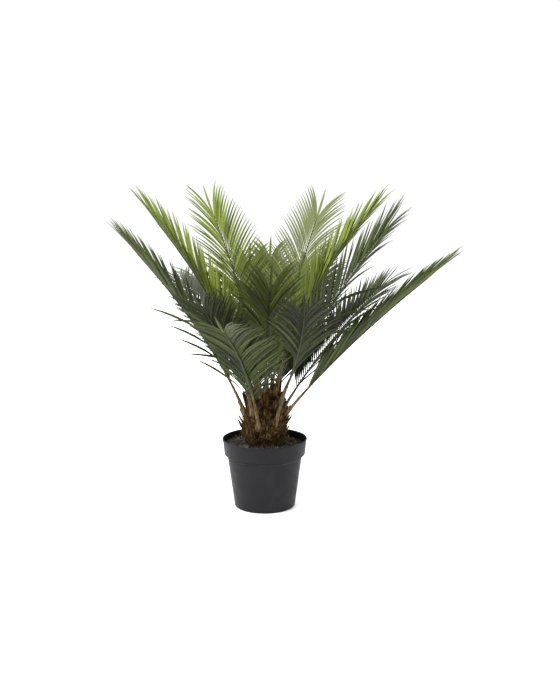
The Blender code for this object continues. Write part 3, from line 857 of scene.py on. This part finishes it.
# Heading 0 is +X and 90 is +Y. Height and radius place the foot on the trunk. Rise is in degrees above level.
# Sweep is how far the heading turns on the way to the tip. Roll turns a frond's face about its stem, left
# side up. Spread is how wide its leaflets stand. Tints are the first and last leaflets' places on the ladder
# of greens below.
FRONDS = (
    Frond("frond_01", -106, 0.166, 0.042, 0.321, 75, 25, 5, 0, 1.00, (1.2, 1.6)),
    Frond("frond_02", -58, 0.172, 0.040, 0.305, 68, 38, -32, 0, 1.00, (1.2, 0.0)),
    Frond("frond_03", -124, 0.188, 0.040, 0.296, 79, 33, 16, 8, 0.80, (0.9, 1.3)),
    Frond("frond_04", -8, 0.181, 0.040, 0.380, 54, 40, 0, 4, 0.52, (1.3, 2.3)),
    Frond("frond_05", 190, 0.188, 0.040, 0.366, 71, 49, -5, -6, 0.66, (1.0, 2.2)),
    Frond("frond_06", 31, 0.177, 0.036, 0.332, 58, 36, 3, 0, 0.90, (1.2, 1.8)),
    Frond("frond_07", -18, 0.205, 0.030, 0.378, 70, 53, 6, 30, 0.80, (1.0, 1.6)),
    Frond("frond_08", 20, 0.212, 0.020, 0.388, 84, 50, -17, 10, 0.66, (2.4, 3.8)),
    Frond("frond_09", 172, 0.211, 0.020, 0.388, 78, 52, 11, -8, 0.74, (3.2, 4.4)),
    Frond("frond_10", 58, 0.214, 0.020, 0.385, 74, 53, 3, 13, 1.00, (4.7, 6.1)),
    Frond("frond_11", 118, 0.215, 0.020, 0.371, 78, 60, 21, -12, 1.00, (2.0, 4.3)),
    Frond("frond_12", 143, 0.193, 0.034, 0.323, 77, 26, -21, 0, 1.00, (0.6, 1.1)),
    Frond("frond_13", 88, 0.200, 0.034, 0.335, 74, 38, 0, 0, 1.00, (1.6, 2.6)),
    Frond("frond_14", 64, 0.182, 0.038, 0.335, 66, 34, 0, 10, 1.00, (1.0, 2.0)),
    Frond("frond_15", 120, 0.182, 0.038, 0.330, 64, 32, 0, -10, 1.00, (1.0, 2.0)),
    Frond("frond_16", 110, 0.200, 0.032, 0.290, 80, 46, -20, 0, 1.00, (1.6, 2.8)),
    Frond("frond_17", 48, 0.200, 0.032, 0.280, 80, 44, 24, 0, 1.00, (1.6, 2.8)),
    Frond("frond_18", -84, 0.212, 0.020, 0.245, 86, 54, 0, 0, 1.00, (1.8, 2.3)),
    Frond("frond_19", 74, 0.172, 0.041, 0.330, 54, 16, 0, 0, 1.00, (1.0, 1.8)),
    Frond("frond_20", 104, 0.174, 0.041, 0.330, 52, 15, 0, 0, 1.00, (0.6, 1.4)),
)
BEND = 0.6  # below 1, a stem bends most near its foot
ROLLED = 0.35  # share of a stem over which its roll comes on
LINE_STEPS = 24


def directions(rise, heading):
    """Along, left of and square above a limb that rises from level towards a heading, in radians."""
    flat = math.cos(rise)
    along = Vector((flat * math.cos(heading), flat * math.sin(heading), math.sin(rise)))
    left = Vector((-math.sin(heading), math.cos(heading), 0))
    return along, left, along.cross(left)


def stem_frame(frond, share):
    """The midline point of a frond's stem at a share of its length, with its directions there."""
    foot = math.radians(frond.heading)
    point = Vector((frond.radius * math.cos(foot), frond.radius * math.sin(foot), frond.height))

    def at(place):
        place = max(place, 0)
        rise = math.radians(frond.rise_foot + (frond.rise_tip - frond.rise_foot) * place**BEND)
        along, left, above = directions(rise, math.radians(frond.heading + frond.sweep * place))
        roll = math.radians(frond.roll * min(place / ROLLED, 1))
        rolled_left = left * math.cos(roll) + above * math.sin(roll)
        rolled_above = above * math.cos(roll) - left * math.sin(roll)
        return along, rolled_left, rolled_above

    for step in range(LINE_STEPS):
        point += at(share * (step + 0.5) / LINE_STEPS)[0] * (frond.length * share / LINE_STEPS)
    return (point, *at(share))


print("fronds:", len(FRONDS))

# %% [markdown]
# ## Stems
# A stem is brown and thick at its foot, then slims and turns green among its first leaflets. A path with a
# radius at each point is all that it needs: Curve to Mesh sweeps a round section along it. Each stem is cut
# in three lengths, each with its own three close colours in upright streaks, so no finish has to change
# along it.

# %% Stems
STEM_WIDTHS = (0.0042, 0.0024, 0.0009)  # half widths at the foot, at the first leaflets and at the tip
BARE = 0.19  # share of a stem below its first leaflets
SOCKET_DEPTH = 0.012
SHEATH = 0.45  # how much thicker the very foot is
SHEATH_END = 0.09  # share of the stem where that thickening has faded out
STEM_FIT = 0.96  # how full the round section is, next to the half widths above
SUNK_END = 0.35  # how wide the end inside the trunk is, next to the stem there
STEM_LENGTHS = (  # name, first and last share, points, screen colours
    ("stems_foot", None, 0.11, 9, ((52, 36, 16), (84, 66, 38), (120, 100, 66))),
    ("stems_middle", 0.11, 0.30, 7, ((50, 42, 22), (70, 62, 34), (92, 84, 50))),
    ("stems_leafy", 0.30, 1.0, 22, ((34, 38, 18), (38, 44, 22), (46, 54, 26))),
)


def stem_half_width(share):
    """Half the width of a stem at a share of its length."""
    foot, first, tip = STEM_WIDTHS
    if share < BARE:
        return foot + (first - foot) * max(share, 0) / BARE
    return first + (tip - first) * (share - BARE) / (1 - BARE)


def stem_paths(name, first, last, count):
    """A mesh of open paths, one for each frond, with a radius at each point."""
    points = []
    edges = []
    radii = []
    for frond in FRONDS:
        start = -SOCKET_DEPTH / frond.length if first is None else first
        for step in range(count):
            share = start + (last - start) * step / (count - 1)
            if step:
                edges.append((len(points) - 1, len(points)))
            points.append(stem_frame(frond, share)[0])
            sheath = 1 + SHEATH * max(1 - max(share, 0) / SHEATH_END, 0) ** 2
            pinched = SUNK_END if first is None and step == 0 else 1
            radii.append(stem_half_width(share) * STEM_FIT * sheath * pinched)
    mesh = bpy.data.meshes.new(name)
    mesh.from_pydata(points, edges, [])
    mesh.attributes.new("stem_radius", "FLOAT", "POINT").data.foreach_set("value", radii)
    return bpy.data.objects.new(name, mesh)


def stem_tree():
    """A tree that sweeps a round section along each path, as thick as the path's own radius."""
    nodes, given = new_tree("stem_sweep", {"Sides": 8, "Material": "material"})
    curve = nodes.add("GeometryNodeMeshToCurve", {"Mesh": given["Geometry"]}).outputs[0]
    circle = {"Resolution": given["Sides"], "Radius": 1.0}
    section = nodes.add("GeometryNodeCurvePrimitiveCircle", circle).outputs[0]
    thick = nodes.add("GeometryNodeInputNamedAttribute", {"Name": "stem_radius"}, data_type="FLOAT")
    swept = {"Curve": curve, "Profile Curve": section, "Scale": thick.outputs[0], "Fill Caps": True}
    tube = nodes.add("GeometryNodeCurveToMesh", swept).outputs[0]
    rounded = nodes.add("GeometryNodeSetShadeSmooth", {"Geometry": tube}).outputs[0]
    end_tree(nodes, rounded, given["Material"])
    return nodes


sweep = stem_tree()
for name, first, last, count, colours in STEM_LENGTHS:
    made_finish, nodes, shader = new_finish(name + "_skin", 0.55, 0.2)
    streaks = patches(nodes, 260, (1, 1, 0.12), detail=5.0)
    nodes.feed(shader.inputs["Base Color"], ramp(nodes, streaks, tuple(zip((0.36, 0.50, 0.64), colours))))
    nodes.feed(shader.inputs["Roughness"], between(nodes, patches(nodes, 160), 0.45, 0.68))
    bump(nodes, shader, patches(nodes, 700, (1, 1, 0.3), detail=3.0), 0.0004, 0.5)
    paths = stem_paths(name + "_paths", first, last, count)
    scene.collection.objects.link(paths)
    stems = grow(name, paths, sweep, {"Sides": 10, "Material": made_finish})
    smooth(stems, 60)
    hand_over(stems, "frond_deep", *(frond.name for frond in FRONDS))
    bpy.data.objects.remove(paths)

# %% [markdown]
# ## Where the leaflets grow
# Leaflets spring in pairs, lean towards the frond's tip and droop a little. Before one is kept, a rough box
# of it is tried against the pot, its fill, the trunk, the other stems and the leaflets of earlier fronds.
# If it would meet one, it swings a few degrees, then tries shorter. It isn't tried against its own frond's
# leaflets, because these lie in a neat overlapping row. A few fronds are packed closer, stand steeper or
# stay bare for longer, and a few leaflets have come loose and hang below their stem. What is kept is a bud:
# a seat on the stem, a tip, and a point that bends the line between.

# %% Where the leaflets grow
PAIRS = 42
LEAF_LENGTH = 0.115
LEAF_WIDTH = 0.0052
LEAF_THICKNESS = 0.0009
LEAF_SEAT = 0.0062
END_LEAF_LENGTH = 0.075
END_LEAF_SUNK = 0.002
SHORTER_AT_ENDS = 0.18  # how much shorter the first and last leaflets are
FORWARD = (42, 14)  # degrees between stem and leaflet where it springs, first and last leaflets
FORWARD_CURVE = 1.6
FOLD = (30, 15)  # degrees that leaflets stand above the stem's own plane, first and last
ARCH = (0.22, 0.30)  # how far a leaflet's tip turns away from its stem, first and last
DROOP = (0.30, 0.38)  # how far it turns towards the ground, first and last
END_LIFT = 0.1
CLEARANCE = 0.0002
PAST_SEAT = 0.12  # share of a leaflet's lower half, from its seat, that its search tree leaves out
SEAT_OUT = 0.55  # how far out on its stem a leaflet springs, in half widths
SEAT_UP = 0.35  # how high on its stem
STAGGER = 0.0012  # how far a pair's two leaflets stand before and behind their place
SWINGS = (0, 5, -5, 10, -10, 18, -18, 27)  # degrees tried where a leaflet meets something
SHORTENINGS = (1.0, 0.85, 0.65, 0.4)
JITTER = 5.0  # degrees that leaflets differ by at random
LENGTH_JITTER = 0.03
WIDTH_FOLLOWS = 0.2  # how much of that a leaflet's width shares in
TINT_JITTER = 0.5  # rungs of the ladder of greens
FACE_JITTER = 0.06
LOOSE = {  # frond and side, with the pairs whose leaflet there hangs loose
    ("frond_05", 1): (0, 11, 18, 27),
    ("frond_07", -1): (10, 16, 23),
    ("frond_02", -1): (5,),
    ("frond_12", 1): (3, 12),
    ("frond_14", -1): (4, 10),
    ("frond_19", 1): (2, 9),
}
LOOSE_SWING = -70  # degrees
FIRST_LEAFLETS = {  # share of the stem where leaflets start, on a side that is bare for longer
    ("frond_02", 1): 0.42,
    ("frond_02", -1): 0.56,
}
PACKED = {  # times as many leaflets, times as wide, and degrees steeper than on other fronds
    "frond_01": (1.6, 0.64, 0),
    "frond_03": (1.5, 0.68, 0),
    "frond_04": (1.35, 1.0, 15),
    "frond_05": (1.35, 1.0, 12),
    "frond_08": (1.15, 1.0, 6),
    "frond_09": (1.15, 1.0, 12),
    "frond_10": (1.0, 0.82, 0),
    "frond_11": (1.0, 0.88, 0),
    "frond_12": (0.65, 1.0, 0),
    "frond_15": (0.75, 1.0, 0),
    "frond_18": (1.25, 0.80, 0),
    "frond_20": (0.75, 1.0, 0),
}
NEARLY_STRAIGHT = 0.02  # sine of the angle between two directions that count as one
BENDING_PLACES = (0.3, 0.7)  # nearest and furthest place of a bending point, in leaflet lengths
CHANCE = random.Random(7)

Bud = namedtuple("Bud", "seat control tip face width ladder frond")


def leaflet_line(spread, along, left, above, side, place, swing, length):
    """A leaflet's first direction, its middle and tip from its seat, and its last direction."""
    forward = FORWARD[1] + (FORWARD[0] - FORWARD[1]) * (1 - place**FORWARD_CURVE)
    forward = math.radians(forward) * spread
    fold = math.radians(FOLD[0] + (FOLD[1] - FOLD[0]) * place + swing)
    outward = left * (side * math.cos(fold)) + above * math.sin(fold)
    start = along * math.cos(forward) + outward * math.sin(forward)
    arch = ARCH[0] + (ARCH[1] - ARCH[0]) * place
    droop = DROOP[0] + (DROOP[1] - DROOP[0]) * place
    bend = (outward * arch - Vector((0, 0, droop))) * spread
    offset = Vector()
    steps = 12
    for step in range(steps):
        way = (start + bend * ((step + 0.5) / steps)).normalized()
        offset = offset + way * (length / steps)
        if step == steps // 2 - 1:
            middle = offset.copy()
    return start.normalized(), middle, offset, way


def box_of(seat, middle, tip, along, start=0.0):
    """A search tree of two thin bars, from the seat to the middle, where they are widest, and to the tip."""
    way = middle.normalized()
    across = (along - way * along.dot(way)).normalized() * (LEAF_WIDTH / 2 + CLEARANCE)
    thick = across.cross(way).normalized() * (LEAF_THICKNESS / 2 + CLEARANCE)
    points = []
    for centre, share in ((middle * start, 0.5), (middle, 1.0)):
        for wide, deep in ((1, 1), (-1, 1), (-1, -1), (1, -1)):
            points.append(seat + centre + across * (wide * share) + thick * deep)
    points.append(seat + tip)
    point_faces = [(4, 5, 8), (5, 6, 8), (6, 7, 8), (7, 4, 8)]
    return BVHTree.FromPolygons(points, [(0, 1, 2, 3)] + tube_faces(points, 4) + point_faces)


def bending_point(start, tip, end):
    """Where the lines of a leaflet's first and last directions meet: the middle point of its curve."""
    turn = start.cross(end).length
    reach = tip.cross(end).length / turn if turn > NEARLY_STRAIGHT else tip.length / 2
    nearest, furthest = BENDING_PLACES
    return start * min(max(reach, tip.length * nearest), tip.length * furthest)


def stem_search_tree(frond):
    """A search tree of a frond's whole stem, as a square tube."""
    points = []
    count = 14
    for step in range(count):
        share = step / (count - 1)
        centre, _, left, above = stem_frame(frond, share)
        half = stem_half_width(share) + CLEARANCE
        points += [centre + above * half, centre + left * half, centre - above * half, centre - left * half]
    return BVHTree.FromPolygons(points, tube_faces(points, 4))


def search_tree(piece):
    """A search tree of a finished piece."""
    mesh = piece.data
    return BVHTree.FromPolygons([v.co for v in mesh.vertices], [tuple(p.vertices) for p in mesh.polygons])


def first_clear(lines, seat, along, taken):
    """The first of some leaflet lines whose box meets nothing, or None."""
    for line in lines:
        _, middle, tip, _ = line
        whole = box_of(seat, middle, tip, along)
        if not any(whole.overlap(other) for other in taken):
            return line
    return None


def grow_buds(frond, taken):
    """The buds of one frond, and a search tree of each kept leaflet."""
    buds = []
    kept = []
    last = 1 - LEAF_SEAT / 2 / frond.length
    more, wider, steeper = PACKED.get(frond.name, (1.0, 1.0, 0))
    pairs = round(PAIRS * more / math.sqrt(frond.spread))
    for pair in range(pairs):
        place = pair / (pairs - 1)
        full = LEAF_LENGTH * (1 - SHORTER_AT_ENDS * (2 * place - 1) ** 2)
        for side in (1, -1):
            share = BARE + (last - BARE) * place + side * STAGGER / frond.length
            if share < FIRST_LEAFLETS.get((frond.name, side), 0):
                continue
            centre, along, left, above = stem_frame(frond, share)
            half = stem_half_width(share)
            seat = centre + left * (side * half * SEAT_OUT) + above * (half * SEAT_UP)
            loose = pair in LOOSE.get((frond.name, side), ())
            wander = CHANCE.gauss(0, JITTER) + (LOOSE_SWING if loose else steeper)
            longer = 1 - abs(CHANCE.gauss(0, LENGTH_JITTER))
            tint = frond.tints[0] + (frond.tints[1] - frond.tints[0]) * place + CHANCE.gauss(0, TINT_JITTER)
            lengths = [full * shorter * longer for shorter in SHORTENINGS]
            lines = (
                leaflet_line(frond.spread, along, left, above, side, place, swing + wander, length)
                for length in lengths
                for swing in SWINGS
            )
            line = first_clear(lines, seat, along, taken)
            if not line:
                continue
            start, middle, tip, end = line
            kept.append(box_of(seat, middle, tip, along, PAST_SEAT))
            face = along.cross(middle)
            if face.dot(above) < 0:
                face = -face
            face = (face.normalized() + along * CHANCE.gauss(0, FACE_JITTER)).normalized()
            width = LEAF_WIDTH / 2 * wider * (1 - WIDTH_FOLLOWS + WIDTH_FOLLOWS * longer)
            buds.append(Bud(seat, bending_point(start, tip, end), tip, face, width, tint, frond.name))
    end_point, along, left, above = stem_frame(frond, 1)
    tip = (along + above * END_LIFT).normalized() * END_LEAF_LENGTH
    seat = end_point - along * END_LEAF_SUNK
    control = along * (END_LEAF_LENGTH / 2)
    buds.append(Bud(seat, control, tip, above, LEAF_WIDTH / 2, frond.tints[1], frond.name))
    return buds, kept


solid_trees = [search_tree(piece) for piece in (pot, fill, trunk)]
stem_trees = {frond.name: stem_search_tree(frond) for frond in FRONDS}
buds = []
grown = []
for frond in FRONDS:
    others = [tree for name, tree in stem_trees.items() if name != frond.name]
    new_buds, kept = grow_buds(frond, solid_trees + others + grown)
    buds += new_buds
    grown += kept
    print(frond.name, "leaflets:", len(new_buds))

# %% [markdown]
# ## A pattern leaflet
# A leaflet is a long blade, narrow at its seat, widest before the middle, and drawn out to a fine point. It
# is folded along its midrib like a shallow gutter. The pattern lies flat and one unit long, with a closed
# four-point section, and carries a UV map so that veins can run along it.

# %% A pattern leaflet
LEAF_OUTLINE = (  # place along, and half width there
    (0.0, 0.36),
    (0.06, 0.50),
    (0.15, 0.74),
    (0.27, 0.94),
    (0.42, 1.0),
    (0.57, 0.92),
    (0.71, 0.73),
    (0.84, 0.46),
    (0.94, 0.20),
)
LEAF_GUTTER = 0.45  # how far the edges stand above the midrib, for half a width
LEAF_TAPER = 0.5  # how much thinner the tip is than the seat


def leaflet_pattern():
    """A leaflet along +X, one unit long, with its half width along Y from -1 to 1 and its depth along Z."""
    points = []
    for along, wide in LEAF_OUTLINE:
        thick = 0.5 * (1 - LEAF_TAPER * along)
        points += [(along, wide, 0), (along, 0, thick), (along, -wide, 0), (along, 0, -thick)]
    last = len(points) - 4
    points.append((1, 0, 0))
    faces = [(0, 1, 2, 3)] + tube_faces(points, 4)
    faces += [(last + side, last + (side + 1) % 4, last + 4) for side in range(4)]
    made = mesh_object("leaflet_pattern", points, faces)
    uv = made.data.uv_layers.new(name="UVMap")
    for loop in made.data.loops:
        place = made.data.vertices[loop.vertex_index].co
        uv.data[loop.index].uv = (place.x, 0.5 + place.y / 2)
    made.data.shade_smooth()
    for edge in made.data.edges:
        ends = [made.data.vertices[number].co for number in edge.vertices]
        edge.use_edge_sharp = abs(ends[0].x - ends[1].x) > 1e-6
    return made


# %% [markdown]
# ## The leaflet tree
# The tree puts the pattern on every bud and then bends each copy along its bud's own curve. With u along
# the leaflet, the line is 2u(1-u) of the bending point plus u squared of the tip. The blade's width goes
# square to that line and to the bud's face, so each leaflet is flat where it should be and never twists in
# on itself.

# %% The leaflet tree
def leaflet_tree():
    """A tree that bends a pattern leaflet along the curve of every bud."""
    nodes, given = new_tree("leaflets", {
        "Pattern": "object", "Thickness": 0.001, "Gutter": 0.3, "Material": "material"})

    def named(name, kind="FLOAT_VECTOR"):
        return nodes.add("GeometryNodeInputNamedAttribute", {"Name": name}, data_type=kind).outputs[0]

    pattern = nodes.add("GeometryNodeObjectInfo", {"Object": given["Pattern"]}).outputs["Geometry"]
    place = nodes.add("GeometryNodeInputPosition").outputs[0]
    mark = {"Geometry": pattern, "Name": "local", "Value": place}
    marked = nodes.add("GeometryNodeStoreNamedAttribute", mark, data_type="FLOAT_VECTOR", domain="POINT")
    copies = {"Points": given["Geometry"], "Instance": marked.outputs[0]}
    placed = nodes.add("GeometryNodeInstanceOnPoints", copies).outputs[0]
    real = nodes.add("GeometryNodeRealizeInstances", {"Geometry": placed}).outputs[0]

    local = named("local")
    split = nodes.add("ShaderNodeSeparateXYZ", {0: local}).outputs
    u, v, w = split["X"], split["Y"], split["Z"]
    control, tip = named("control"), named("tip")
    seat = nodes.vector("SUBTRACT", place, local)
    squared = nodes.math("MULTIPLY", u, u)
    early = nodes.math("MULTIPLY", nodes.math("SUBTRACT", u, squared), 2.0)
    line = nodes.vector("ADD", nodes.scaled(control, early), nodes.scaled(tip, squared))
    slope = nodes.math("SUBTRACT", 1.0, nodes.math("MULTIPLY", u, 2.0))
    way = nodes.vector("NORMALIZE", nodes.vector("ADD", nodes.scaled(control, slope), nodes.scaled(tip, u)))
    across = nodes.vector("NORMALIZE", nodes.vector("CROSS_PRODUCT", named("face"), way))
    above = nodes.vector("CROSS_PRODUCT", way, across)
    half = nodes.math("MULTIPLY", v, named("width", "FLOAT"))
    edge_lift = nodes.math("MULTIPLY", nodes.math("ABSOLUTE", half), given["Gutter"])
    lift = nodes.math("ADD", nodes.math("MULTIPLY", w, given["Thickness"]), edge_lift)
    flat = nodes.vector("ADD", nodes.vector("ADD", seat, line), nodes.scaled(across, half))
    bent = nodes.vector("ADD", flat, nodes.scaled(above, lift))
    shaped = nodes.add("GeometryNodeSetPosition", {"Geometry": real, "Position": bent}).outputs[0]
    end_tree(nodes, shaped, given["Material"])
    return nodes


# %% [markdown]
# ## Greens
# New fronds are yellow green at their tips and darken towards the trunk, and some fronds are a deep dull
# green all along. Each leaflet takes the nearest rung of a ladder of plain colours, so every rung is one
# piece with one finish. The finish adds a satin shine that wanders a little and fine veins along each blade.

# %% Greens
LADDER = (  # name, screen colour and material slot, deepest first, then the two greyer ones
    ("leaflets_deepest", (21, 27, 9), "frond_deep"),
    ("leaflets_deep", (44, 52, 30), "frond_deep"),
    ("leaflets_green", (64, 74, 36), "frond_deep"),
    ("leaflets_fresh", (74, 87, 29), "frond_bright"),
    ("leaflets_bright", (105, 119, 43), "frond_bright"),
    ("leaflets_grey", (79, 88, 42), "frond_bright"),
    ("leaflets_pale", (95, 103, 64), "frond_bright"),
)
VEINS = 7  # across one leaflet


def leaf_finish(name, colour):
    """Satin plastic in one plain green, with veins along the blade."""
    made, nodes, shader = new_finish(name, 0.5, 0.12)
    shader.inputs["Base Color"].default_value = linear(colour)
    nodes.feed(shader.inputs["Roughness"], between(nodes, patches(nodes, 120, detail=3.0), 0.42, 0.60))
    spot = nodes.add("ShaderNodeUVMap", uv_map="UVMap").outputs[0]
    across = nodes.add("ShaderNodeSeparateXYZ", {0: spot}).outputs["Y"]
    ribs = nodes.math("SINE", nodes.math("MULTIPLY", across, math.tau * VEINS))
    bump(nodes, shader, ribs, 0.00015, 0.4)
    return made


def bud_mesh(name, chosen):
    """Points at the buds' seats, with what the tree needs to know about each."""
    mesh = bpy.data.meshes.new(name)
    mesh.from_pydata([bud.seat for bud in chosen], [], [])
    for field in ("control", "tip", "face"):
        attribute = mesh.attributes.new(field, "FLOAT_VECTOR", "POINT")
        attribute.data.foreach_set("vector", [number for bud in chosen for number in getattr(bud, field)])
    mesh.attributes.new("width", "FLOAT", "POINT").data.foreach_set("value", [bud.width for bud in chosen])
    made = bpy.data.objects.new(name, mesh)
    scene.collection.objects.link(made)
    return made


pattern = leaflet_pattern()
bend_tree = leaflet_tree()
for rung, (name, colour, slot) in enumerate(LADDER):
    chosen = [bud for bud in buds if min(max(round(bud.ladder), 0), len(LADDER) - 1) == rung]
    points = bud_mesh(name + "_buds", chosen)
    leaves = grow(name, points, bend_tree, {
        "Pattern": pattern, "Thickness": LEAF_THICKNESS, "Gutter": LEAF_GUTTER,
        "Material": leaf_finish(name + "_satin", colour)})
    for attribute in ("local", "control", "tip", "face", "width"):
        leaves.data.attributes.remove(leaves.data.attributes[attribute])
    hand_over(leaves, slot, *sorted({bud.frond for bud in chosen}))
    bpy.data.objects.remove(points)
bpy.data.objects.remove(pattern)

# %% [markdown]
# ## Finish
# The two boxes show whether the dressed plant keeps to the size of its solids.

# %% Finish
visual_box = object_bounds()
for axis, low, high, low_seen, high_seen in zip("XYZ", *SOLID_BOX, *visual_box):
    print(axis, "solids", round(low * 1000, 1), round(high * 1000, 1), "visual", round(low_seen * 1000, 1),
          round(high_seen * 1000, 1))
